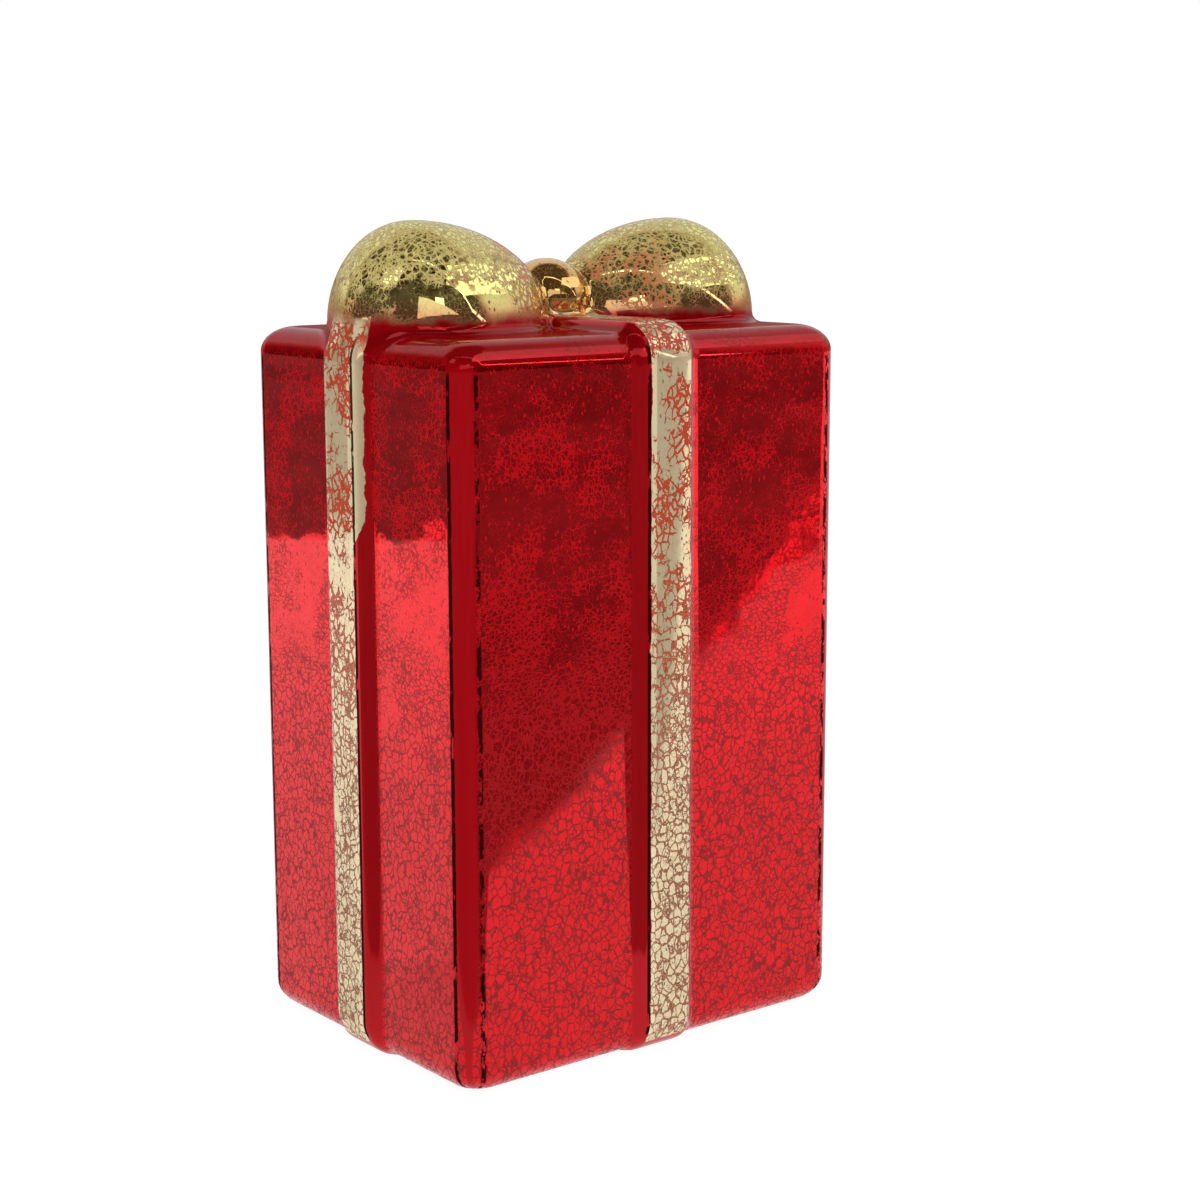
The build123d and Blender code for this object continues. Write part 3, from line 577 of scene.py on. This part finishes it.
def paint_lines(n, m):
    """Black broken lines, where the silvering has parted from the glass; a painted highlight, a clean pale
    gold strip, beside one of them; and a pinkish painted highlight on the clear glass beside the gold's far edge."""
    gaps = n.noise(n.stretched(m.place, (1.0, 1.0, 0.35)), 420, 3.0, 0.65)
    blots = n.noise(n.stretched(m.place, (1.0, 1.0, 0.45)), 620, 3.0, 0.7)
    left = n.times(n.smooth(m.turn, 0.80, 0.84), n.smooth(m.turn, 0.97, 0.93), n.smooth(gaps, 0.36, 0.44))
    right = n.times(n.smooth(m.turn, 0.02, 0.10), n.smooth(m.turn, 0.27, 0.17), n.smooth(blots, 0.47, 0.52))
    corner = n.times(n.most(left, right), n.smooth(m.z, 0.174, 0.172))
    beside_gold = n.times(n.smooth(m.across, -GOLD_HALF - 0.00105, -GOLD_HALF - 0.00085),
                          n.smooth(m.across, -GOLD_HALF + 0.0001, -GOLD_HALF - 0.0001),
                          n.smooth(gaps, 0.34, 0.40),
                          n.smooth(m.z, 0.181, 0.176), n.smooth(m.proud, 0.0015, 0.0021))
    at_foot = n.times(n.smooth(m.across, -0.0112, -0.0104), n.smooth(m.across, -0.0090, -0.0097),
                      n.smooth(blots, 0.55, 0.60), n.smooth(m.proud, 0.0004, 0.0001),
                      n.smooth(m.z, 0.174, 0.165))
    m.black = n.most(corner, beside_gold, at_foot)
    # Painted highlight: a pale gold strip along the gold's near edge.
    m.lip = n.times(n.smooth(m.across, -GOLD_HALF - 0.0036, -GOLD_HALF - 0.0004),
                    n.smooth(m.across, -GOLD_HALF + 0.0019, -GOLD_HALF + 0.0014),
                    m.gold, n.without(m.bow), m.off_lacquer, n.without(m.webbed),
                    n.smooth(m.proud, 0.0010, 0.0014))
    # Painted highlight: a pinkish line beside the gold's far edge.
    m.rim = n.times(n.smooth(m.across, GOLD_HALF + 0.0002, GOLD_HALF + 0.0006),
                    n.smooth(m.proud, 0.0008, 0.0016), n.without(m.gold),
                    n.smooth(m.bow_depth, -0.0015, -0.0035))


def bow_colours(n, m):
    """Islands and web of the bow: painted dark reflections, in blots round the lobes' middles; red towards the
    foot and the knot.
    """
    not_knot = n.without(m.knot)
    foot = n.smooth(n.plus(m.z, n.wander(m.place, 120, 0.005)), 0.1905, 0.1840)
    # Painted dark reflection: dark blots on the islands round the lobes' middles.
    dark_reflection = n.times(n.smooth(n.noise(n.stretched(m.place, (1.0, 1.0, 1.5)), 330, 3.0, 0.6), 0.50, 0.56),
                   not_knot, n.smooth(m.z, 0.1875, 0.1925), n.smooth(m.z, 0.2015, 0.1965))
    island = n.mix(m.knot, n.mix(m.tone, *BOW_ISLAND), KNOT_ISLAND)
    island = n.mix(n.times(dark_reflection, 0.85), island, BOW_DARK_REFLECTION)
    island = n.mix(n.times(foot, not_knot, 0.60), island, BOW_FOOT_ISLAND)
    reddened = n.most(foot, n.times(n.smooth(m.far_x, 0.032, 0.018), n.smooth(m.tone, 0.40, 0.52)))
    threads = n.mix(n.noise(m.place, 420, 3.0), *BOW_WEB)
    return island, n.mix(n.times(reddened, 0.75), threads, BOW_FOOT_WEB)


def finish_colour(n, m):
    """The base colour, layer over layer."""
    bow_island, bow_web = bow_colours(n, m)
    red_web = n.mix(m.low_down, n.mix(n.noise(m.place, 500), *RED_WEB_HIGH), RED_WEB_LOW)
    gold_island = n.mix(m.bow, n.mix(m.tone, *GOLD_ISLAND), bow_island)
    gold_web = n.mix(m.bow, n.mix(m.low_down, *GOLD_WEB), bow_web)
    gold_outline = n.mix(m.bow, n.mix(m.low_down, *GOLD_OUTLINE), BOW_OUTLINE)
    island = n.mix(m.gold, n.mix(m.tone, *RED_ISLAND), gold_island)
    colour = n.mix(m.webbed, island, n.mix(m.gold, red_web, gold_web))
    outline_share = n.times(m.outline, n.blend(m.gold, 0.6, n.blend(m.bow, 0.9, 0.45)))
    colour = n.mix(outline_share, colour, n.mix(m.gold, n.mix(m.low_down, *RED_OUTLINE), gold_outline))
    dash_colour = n.mix(m.gold, red_web, n.mix(m.bow, GOLD_DASH, BOW_DASH))
    for mask, share, over in ((m.dash, 0.85, dash_colour), (m.strip, 0.9, STRIP_RED),
                              # The dark red on the rounding into the top is painted shade.
                              (m.flank, 0.7, FLANK_RED), (m.brow, 0.70, n.mix(m.tone, *BROW_SHADE_RED)),
                              # The pale gold strip and the pinkish line here are painted highlights.
                              (m.lip, 0.8, LIP_HIGHLIGHT_GOLD), (m.rim, 1.0, RIM_HIGHLIGHT_PINK), (m.black, 0.96, PARTED_BLACK)):
        colour = n.mix(n.times(mask, share), colour, over)
    return colour


def lacquered_glass():
    """Clear glass over crackled silvering, under red lacquer, with gold on the ribbons and the bow."""
    n = Nodes("lacquered_glass")
    m = finish_masks(n)
    paint_crackle(n, m)
    paint_lacquer(n, m)
    paint_lines(n, m)
    # Painted shade where the faces round over into the top: the lacquer there is painted darker, less metallic and
    # smoother.
    m.brow = n.times(n.smooth(m.z, 0.1730, 0.1775), n.smooth(m.z, 0.184, 0.181),
                     n.smooth(m.proud, 0.0022, 0.0012), n.without(m.gold))

    marks = n.math("MAXIMUM", m.webbed, n.most(m.outline, m.dash), clamp=True)
    metallic = n.blend(marks, n.blend(m.gold, 0.97, n.blend(m.bow, 0.58, 0.94)), 0.06)
    # The painted highlights along the gold's edges, and the painted shade on the rounding into the top, are made
    # less metallic.
    for mask, value in ((m.lip, 0.30), (m.strip, 0.30), (m.flank, 0.55), (n.times(m.brow, 0.8), 0.30),
                        (m.rim, 0.5), (m.black, 0.0)):
        metallic = n.blend(mask, metallic, value)
    rough = n.blend(marks, n.blend(m.gold, 0.02, n.blend(m.bow, 0.10, 0.03)), 0.32)
    # Smoother under the painted shade on the rounding into the top.
    rough = n.blend(m.brow, n.blend(m.strip, rough, 0.18), 0.12)

    # Blown ripples, small dents, the web a little sunk, and the ribbon's painted face crowned.
    crown = n.math("POWER", n.math("DIVIDE", n.size(m.across), GOLD_HALF), 2.0)
    level = n.plus(n.noise(m.place, 26), n.times(n.noise(m.place, 240), 0.04), n.times(m.webbed, -0.010))
    level = n.minus(level, n.times(crown, 0.7, n.math("SUBTRACT", m.gold, m.bow, clamp=True)))
    coat = n.times(n.minus(0.5, n.times(m.black, 0.45)), n.smooth(n.facing(), 0.97, 0.85))
    n.set(Base_Color=finish_colour(n, m), Metallic=metallic, Roughness=rough,
          Normal=n.bump(level, 0.0010, 0.5), Specular_IOR_Level=0.0, Coat_Weight=coat,
          Coat_Roughness=0.012, Coat_IOR=1.45, IOR=1.45)
    return n.material


glass = make_glass()
paint_masks(glass)
glass.data.materials.append(lacquered_glass())
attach(glass, "box")
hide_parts("glass_shell")


# ---- Materials of the base, its fittings and the light core -------------------------------------
CELL_PITCH = 0.0113            # the battery bay, as in the CAD model
CELL_Z = 0.00995
CELL_RADIUS = 0.00525
BAY_MIDDLE_X = -0.0098
CAP_EDGE = (CELL_RADIUS - 0.0006, CELL_RADIUS - 0.0009)
GRAIN_DEPTH = 0.00003
TINT = 0.12                    # how much lighter or darker the flow marks are


def plastic(name, colour, rough=0.42, grain=2600, depth=GRAIN_DEPTH):
    """Moulded plastic: spark-eroded grain, faint flow marks and handling wear."""
    n = Nodes(name)
    place = n.object_place()
    flow = n.noise(n.stretched(place, (1.0, 0.3, 1.0)), 45, 3.0)
    dark = tuple(channel * (1 - TINT) for channel in colour)
    pale = tuple(min(channel * (1 + TINT) + 0.01, 1.0) for channel in colour)
    speck = n.smooth(n.noise(place, 900), 0.62, 0.70)
    fine = n.noise(place, grain, 3.0, 0.7)
    uneven = n.plus(flow, n.times(fine, 0.3))
    n.set(Base_Color=n.mix(n.times(speck, 0.25), n.mix(flow, dark, pale), pale),
          Roughness=n.smooth(uneven, 0.35, 0.95, rough - 0.08, rough + 0.12),
          Normal=n.bump(fine, depth), IOR=1.5)
    return n.material


def metal(name, colour, rough, stretch, scale=900):
    """Plated or drawn metal: fine scratches along one way, and duller patches."""
    n = Nodes(name)
    place = n.object_place()
    scratch = n.noise(n.stretched(place, stretch), scale, 4.0, 0.65)
    patch = n.noise(place, 160, 3.0)
    worn = tuple(channel * 0.78 for channel in colour)
    uneven = n.plus(scratch, n.times(patch, 0.5))
    n.set(Base_Color=n.mix(n.smooth(patch, 0.42, 0.66), colour, worn), Metallic=1.0,
          Roughness=n.smooth(uneven, 0.4, 1.1, rough - 0.08, rough + 0.16),
          Normal=n.bump(scratch, 0.00001, 0.6))
    return n.material


def battery_jacket():
    """A printed sleeve with plain bands, between nickel end caps."""
    n = Nodes("battery_jacket")
    place = n.object_place()
    x, y, z = n.axes(place)
    row = n.times(n.math("ROUND", n.math("DIVIDE", y, CELL_PITCH)), CELL_PITCH)
    off_y, off_z = n.minus(y, row), n.minus(z, CELL_Z)
    radius = n.math("SQRT", n.plus(n.times(off_y, off_y), n.times(off_z, off_z)))
    cap = n.smooth(radius, *CAP_EDGE)
    middle_cell = n.math("LESS_THAN", n.size(row), CELL_PITCH / 2)
    along = n.times(n.minus(x, BAY_MIDDLE_X), n.blend(middle_cell, -1.0, 1.0))
    band = n.smooth(along, -0.0105, -0.0107)
    ring = n.times(n.smooth(along, -0.0108, -0.0107), n.smooth(along, -0.0096, -0.0097))
    lines = n.smooth(n.math("PINGPONG", along, 0.0021), 0.0001, 0.0003)
    weave = n.noise(n.stretched(place, (0.2, 1.0, 1.0)), 1500, 3.0)
    sleeve = n.mix(band, (0.022, 0.040, 0.062), (0.60, 0.36, 0.10))
    sleeve = n.mix(ring, sleeve, (0.78, 0.78, 0.76))
    sleeve = n.mix(n.times(lines, n.without(band)), (0.045, 0.070, 0.10), sleeve)
    n.set(Base_Color=n.mix(cap, sleeve, (0.70, 0.69, 0.66)), Metallic=n.most(cap, n.times(band, 0.8)),
          Roughness=n.blend(cap, n.smooth(weave, 0.3, 0.7, 0.24, 0.36), 0.22), Normal=n.bump(weave, 0.00001),
          Coat_Weight=n.minus(0.6, n.times(cap, 0.6)), Coat_Roughness=0.12)
    return n.material


def board_green():
    """Solder mask over copper traces, with tinned pads."""
    n = Nodes("board_green")
    place = n.object_place()
    traces = n.add("ShaderNodeTexBrick")
    for name, value in (("Vector", place), ("Scale", 190), ("Mortar Size", 0.028), ("Mortar Smooth", 0.2)):
        n.put(traces.inputs[name], value)
    copper = traces.outputs["Fac"]
    pads = n.smooth(n.voronoi(place, 330, "F1", 0.35), 0.17, 0.14)
    weave = n.noise(place, 1800)
    mask = n.mix(n.noise(place, 120), (0.006, 0.090, 0.030), (0.012, 0.130, 0.045))
    lit = n.mix(copper, mask, (0.030, 0.210, 0.080))
    n.set(Base_Color=n.mix(pads, lit, (0.72, 0.70, 0.66)), Metallic=n.times(pads, 0.9),
          Roughness=n.smooth(weave, 0.3, 0.7, 0.26, 0.36),
          Normal=n.bump(n.plus(n.times(copper, 0.6), n.times(weave, 0.2)), GRAIN_DEPTH))
    return n.material


def foam():
    """Open-cell foam."""
    n = Nodes("foam")
    cells = n.voronoi(warped(n, n.object_place(), 900, 0.0003), 2100, "F1")
    n.set(Base_Color=n.mix(cells, (0.020, 0.020, 0.022), (0.085, 0.085, 0.090)), Roughness=0.95,
          Normal=n.bump(cells, 0.0003), Sheen_Weight=0.2)
    return n.material


def clear(name, colour, rough, transmission, ior=1.49):
    """Clear or tinted resin, with faint draw lines along it."""
    n = Nodes(name)
    place = n.object_place()
    draw = n.noise(n.stretched(place, (1.0, 1.0, 0.05)), 700, 3.0)
    haze = n.noise(place, 90, 3.0)
    n.set(Base_Color=n.mix(haze, colour, tuple(channel * 0.94 for channel in colour)),
          Transmission_Weight=transmission, IOR=ior,
          Roughness=n.smooth(haze, 0.35, 0.75, rough, rough + 0.08), Normal=n.bump(draw, 0.00001, 0.5))
    return n.material


made = (
    plastic("gasket_silicone", (0.62, 0.60, 0.57), 0.55, grain=1200),
    plastic("base_plastic", (0.016, 0.016, 0.018), 0.46, grain=1500, depth=0.00005),
    plastic("tray_plastic", (0.030, 0.030, 0.033), 0.38),
    battery_jacket(),
    metal("contact_nickel", (0.66, 0.64, 0.60), 0.20, (0.1, 1.0, 0.2)),
    foam(),
    board_green(),
    plastic("chip_black", (0.012, 0.012, 0.013), 0.55, grain=4200),
    plastic("capacitor_sleeve", (0.020, 0.045, 0.14), 0.28, grain=3000, depth=0.00001),
    plastic("resistor_body", (0.52, 0.44, 0.30), 0.50, grain=3800),
    metal("switch_steel", (0.58, 0.57, 0.55), 0.30, (1.0, 0.08, 1.0)),
    plastic("knob_plastic", (0.55, 0.54, 0.52), 0.40),
    metal("screw_steel", (0.50, 0.48, 0.44), 0.24, (1.0, 1.0, 0.3)),
    plastic("cover_plastic", (0.74, 0.73, 0.70), 0.40),
    clear("clear_tube", (0.97, 0.97, 0.96), 0.05, 0.92),
    metal("copper_wire", (0.86, 0.44, 0.27), 0.18, (1.0, 1.0, 0.4), 1500),
    clear("led_resin", (1.0, 0.88, 0.66), 0.10, 0.70, 1.5),
    plastic("lead_black", (0.014, 0.014, 0.014), 0.34, grain=2000),
    plastic("lead_red", (0.48, 0.020, 0.016), 0.34, grain=2000),
)
fittings = {material.name.split(".")[0]: material for material in made}
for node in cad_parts.values():
    for place, old in enumerate(node.data.materials):
        slot_name = old.name.split(".")[0] if old else ""
        if slot_name in fittings:
            node.data.materials[place] = fittings[slot_name]


# ---- Camera: at the height of the box's top, left of its wide front -----------------------------
CAMERA_PLACE = (-0.3578, -0.4747, 0.2124)
CAMERA_LENS = 69.4             # mm, on a 36 mm sensor
CAMERA_YAW, CAMERA_PITCH, CAMERA_ROLL = 38.309, 9.904, -0.139      # degrees; pitch is downwards


def place_camera():
    data = bpy.data.cameras.new("camera")
    data.sensor_width = 36.0
    data.lens = CAMERA_LENS
    data.clip_start = 0.01
    data.clip_end = 50.0
    camera = bpy.data.objects.new("camera", data)
    bpy.context.scene.collection.objects.link(camera)
    turn = (Matrix.Rotation(-radians(CAMERA_YAW), 4, "Z") @ Matrix.Rotation(radians(90 - CAMERA_PITCH), 4, "X")
            @ Matrix.Rotation(radians(CAMERA_ROLL), 4, "Z"))
    camera.matrix_world = Matrix.Translation(CAMERA_PLACE) @ turn
    bpy.context.scene.camera = camera


place_camera()


# ---- Floor, reflected surroundings and lights ---------------------------------------------------
FLOOR_HALF, FLOOR_Z = 9, -0.0002
SHEET_HALF, SHEET_Z = 4, 0.0006
BOW_Z = 0.19                   # the cards are placed round this height
# Bright cards: name, distance, strength, and corners as (azimuth from +X, elevation) in degrees.
SKY_CARDS = (
    ("window_right", 2.0, 1.35, ((-98, 44), (-72, 64), (-34, 54), (10, 24), (-26, 22), (-64, 29))),
    ("window_left", 2.2, 0.95, ((-151, 28), (-152, 8), (-84, 12))),
    ("lamp_rail_low", 1.8, 3.0, ((-50, 3), (-48, 3), (-56, 16), (-74, 42), (-77, 42), (-58, 16))),
    ("lamp_rail_high", 1.8, 2.4, ((-74, 42), (-124, 66), (162, 54), (160, 52), (-130, 69), (-78, 43))),
    ("window_far_left", 2.4, 1.3, ((150, 26), (176, 30), (178, 50), (158, 46))),
    ("bead_lamp", 2.0, 2.2, ((-125, 16), (-110, 16), (-110, 30), (-125, 30))),
)
# Soft lights that aren't mirrored themselves: name, place, side, power in watts.
SOFTBOXES = (
    ("top_softbox", (-0.2, 0.1, 1.6), 1.4, 5),
    ("left_softbox", (-1.5, -0.6, 0.75), 0.7, 4),
    ("right_softbox", (0.6, -1.5, 0.9), 0.8, 4),
)
LIT_POINT = Vector((0, 0, 0.12))


def flat_piece(name, corners, material):
    """A flat polygon of the studio."""
    mesh = bpy.data.meshes.new(name)
    mesh.from_pydata(corners, [], [range(len(corners))])
    piece = bpy.data.objects.new(name, mesh)
    mesh.materials.append(material)
    bpy.context.scene.collection.objects.link(piece)
    return piece


def level_square(name, half, z, material):
    """A level square of the studio, centred below the object."""
    corners = [(-half, -half, z), (half, -half, z), (half, half, z), (-half, half, z)]
    return flat_piece(name, corners, material)


def reflected_only(piece):
    """Seen in reflections alone: the camera, shadows and soft light pass it by."""
    for ray in ("camera", "diffuse", "shadow", "transmission", "volume_scatter"):
        setattr(piece, "visible_" + ray, False)


def white_floor():
    """A floor that reads as the white backdrop; seen from below it is clear, so that the base shows."""
    n = Nodes("floor_white")
    n.set(Base_Color=(0.26, 0.26, 0.26), Roughness=0.9, Specular_IOR_Level=0.0,
          Emission_Color=(1, 1, 1), Emission_Strength=0.93)
    either = n.add("ShaderNodeMixShader")
    n.put(either.inputs[0], n.add("ShaderNodeNewGeometry").outputs["Backfacing"])
    n.tree.links.new(n.shader.outputs[0], either.inputs[1])
    n.tree.links.new(n.add("ShaderNodeBsdfTransparent").outputs[0], either.inputs[2])
    n.tree.links.new(either.outputs[0], n.output.inputs[0])
    return n.material


def glow(name, strength):
    n = Nodes(name)
    n.set(Base_Color=(0, 0, 0), Roughness=1.0, Specular_IOR_Level=0.0,
          Emission_Color=(1, 1, 1), Emission_Strength=strength)
    return n


def reflected_floor():
    """What the glass mirrors of the table: a pale sheet, ending in a dark room, with the photographer's
    dark side in front of the near corner."""
    n = glow("floor_reflected", 1.0)
    place = n.object_place()
    x, y, _ = n.axes(place)
    reach = n.vector("LENGTH", place).node.outputs["Value"]
    uneven = n.times(n.minus(n.noise(place, 7.0, 3.0, 0.55), 0.5), n.times(reach, 0.05))
    # Distances from the shaded side's two borders and from the sheet's far end.
    right = n.plus(n.times(x, 0.625), n.times(y, 0.781), 0.122, n.times(uneven, 2.0))
    left = n.minus(n.times(y, 0.94), n.times(x, -0.34), -0.020)
    sheet_end = n.plus(n.times(x, -0.69), n.times(y, 0.72), n.times(uneven, 0.25))
    white_left = n.times(n.smooth(left, 0.0, 0.03), n.smooth(sheet_end, 0.915, 0.890))
    white_right = n.times(n.smooth(right, -0.003, 0.008), n.smooth(x, -0.30, 0.0))
    white = n.most(white_right, white_left)
    shade = n.smooth(n.noise(place, 3.0, 3.0), 0.3, 0.7, 0.13, 0.22)
    n.set(Emission_Strength=n.blend(white, shade, n.smooth(reach, 0.08, 0.75, 0.82, 1.06)))
    return n.material


def sky_card(name, distance, strength, corners):
    """A bright card at these directions from the bow."""
    points = []
    for azimuth, elevation in corners:
        level = distance * cos(radians(elevation))
        points.append((level * cos(radians(azimuth)), level * sin(radians(azimuth)),
                       BOW_Z + distance * sin(radians(elevation))))
    reflected_only(flat_piece(name, points, glow(name, strength).material))


def build_studio():
    level_square("floor", FLOOR_HALF, FLOOR_Z, white_floor()).visible_glossy = False
    reflected_only(level_square("floor_sheet", SHEET_HALF, SHEET_Z, reflected_floor()))
    for card in SKY_CARDS:
        sky_card(*card)


def softbox(name, place, side, power):
    data = bpy.data.lights.new(name, "AREA")
    data.shape = "RECTANGLE"
    data.size = data.size_y = side
    data.energy = power
    light = bpy.data.objects.new(name, data)
    bpy.context.scene.collection.objects.link(light)
    light.location = place
    light.rotation_euler = (LIT_POINT - Vector(place)).to_track_quat("-Z", "Y").to_euler()
    light.visible_glossy = False


def build_world():
    """White to the camera; in reflections, a pale backdrop behind and dark room elsewhere."""
    world = bpy.data.worlds.new("studio")
    world.use_nodes = True
    n = Tree(world.node_tree)
    output = n.add("ShaderNodeOutputWorld")
    path = n.add("ShaderNodeLightPath").outputs
    seen, around, soft = (n.add("ShaderNodeBackground") for _ in range(3))
    inner, outer = (n.add("ShaderNodeMixShader") for _ in range(2))
    seen.inputs[0].default_value = soft.inputs[0].default_value = (1, 1, 1, 1)
    soft.inputs[1].default_value = 0.42
    x, y, z = n.axes(n.add("ShaderNodeTexCoord").outputs["Generated"])
    backdrop = n.plus(n.times(x, 0.82), n.times(y, 0.57))
    low = n.times(n.smooth(z, 0.86, 0.74), n.smooth(z, 0.06, 0.24, 0.40, 1.0))
    share = n.times(n.smooth(backdrop, 0.10, 0.24), low)
    n.put(around.inputs[0], n.mix(share, (1.0, 0.55, 0.38), (1, 1, 1)))
    n.put(around.inputs[1], n.blend(share, 0.040, 0.76))
    for source, target in ((path["Is Glossy Ray"], inner.inputs[0]), (soft.outputs[0], inner.inputs[1]),
                           (around.outputs[0], inner.inputs[2]), (path["Is Camera Ray"], outer.inputs[0]),
                           (inner.outputs[0], outer.inputs[1]), (seen.outputs[0], outer.inputs[2]),
                           (outer.outputs[0], output.inputs[0])):
        n.tree.links.new(source, target)
    bpy.context.scene.world = world


build_studio()
build_world()
for box in SOFTBOXES:
    softbox(*box)
bpy.context.scene.view_settings.view_transform = "Standard"
bpy.context.scene.view_settings.look = "None"
